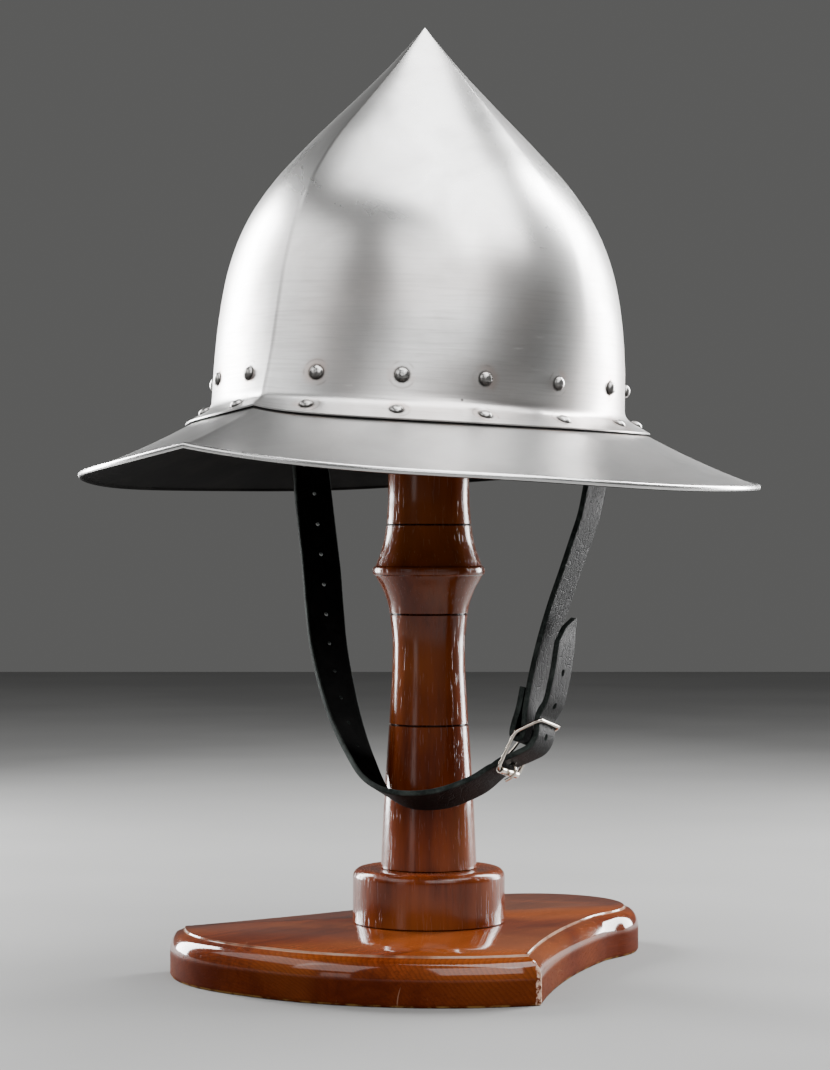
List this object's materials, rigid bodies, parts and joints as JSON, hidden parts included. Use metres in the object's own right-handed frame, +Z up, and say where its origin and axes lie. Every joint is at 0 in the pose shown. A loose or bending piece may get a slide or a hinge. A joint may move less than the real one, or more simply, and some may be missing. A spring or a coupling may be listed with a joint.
{
  "type": "kettle hat with chin strap on a wooden display stand",
  "caption": "Pointed riveted steel kettle hat with a wide sloping brim and a buckled leather chin strap, resting on a turned wooden stand with a shaped board.",
  "frame": {"origin": "on the underside of the stand's board, on the axis of its post", "axes": "+Z up along the post, the hat's front toward -Y, the wearer's left side toward +X"},
  "size_m": [0.3657, 0.3949, 0.5187],
  "materials": {
    "steel": "satin ground steel with faint mottling and a polished rim",
    "rivet_steel": "hammered rivet heads, darker than the sheet",
    "leather": "black dyed strap leather, creased grain outside, matt flesh inside, grey-green cut edges",
    "nickel": "nickel plated wire, slightly warm",
    "wood": "red-brown stained hardwood under gloss varnish, worn at the corners"
  },
  "bodies": {
    "root": {"crown": "steel", "brim": "steel", "strap_long": "leather", "strap_short": "leather", "buckle_frame": "nickel", "buckle_roller": "nickel", "buckle_prong": "nickel", "stand_board": "wood", "stand_boss": "wood", "stand_post": "wood", "stand_head": "wood", "upper_rivet_01": "rivet_steel", "upper_rivet_02": "rivet_steel", "upper_rivet_03": "rivet_steel", "upper_rivet_04": "rivet_steel", "upper_rivet_05": "rivet_steel", "upper_rivet_06": "rivet_steel", "upper_rivet_07": "rivet_steel", "upper_rivet_08": "rivet_steel", "upper_rivet_09": "rivet_steel", "upper_rivet_10": "rivet_steel", "upper_rivet_11": "rivet_steel", "upper_rivet_12": "rivet_steel", "upper_rivet_13": "rivet_steel", "upper_rivet_14": "rivet_steel", "upper_rivet_15": "rivet_steel", "upper_rivet_16": "rivet_steel", "lower_rivet_01": "rivet_steel", "lower_rivet_02": "rivet_steel", "lower_rivet_03": "rivet_steel", "lower_rivet_04": "rivet_steel", "lower_rivet_05": "rivet_steel", "lower_rivet_06": "rivet_steel", "lower_rivet_07": "rivet_steel", "lower_rivet_08": "rivet_steel", "lower_rivet_09": "rivet_steel", "lower_rivet_10": "rivet_steel", "lower_rivet_11": "rivet_steel", "lower_rivet_12": "rivet_steel", "lower_rivet_13": "rivet_steel", "lower_rivet_14": "rivet_steel", "lower_rivet_15": "rivet_steel", "lower_rivet_16": "rivet_steel"}
  },
  "joints": []
}
